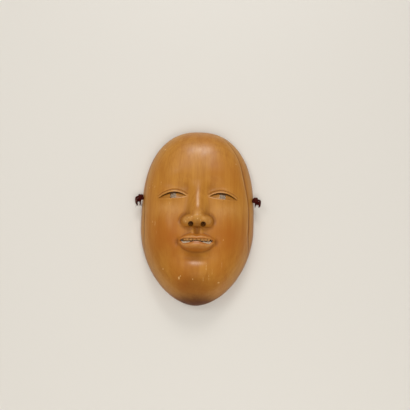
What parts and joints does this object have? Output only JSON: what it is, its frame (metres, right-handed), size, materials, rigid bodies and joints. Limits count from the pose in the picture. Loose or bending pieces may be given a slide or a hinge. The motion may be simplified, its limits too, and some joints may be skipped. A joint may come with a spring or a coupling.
{
  "type": "carved wooden theatre mask",
  "caption": "Carved wooden face mask of Noh type, hollow behind, with eye holes, open mouth, and a silk cord through its sides.",
  "frame": {"origin": "centre of the back rim, on the surface that the mask lies on", "axes": "+X to the viewer's right, +Y towards the forehead, +Z out of the face"},
  "size_m": [0.1506, 0.212, 0.0642],
  "materials": {
    "wood": "satin wax over stained cypress, worn lighter on the high places",
    "silk_cord": "braided silk, dark red"
  },
  "bodies": {
    "root": {"mask": "wood", "cord": "silk_cord", "left_knot": "silk_cord", "right_knot": "silk_cord"}
  },
  "joints": []
}
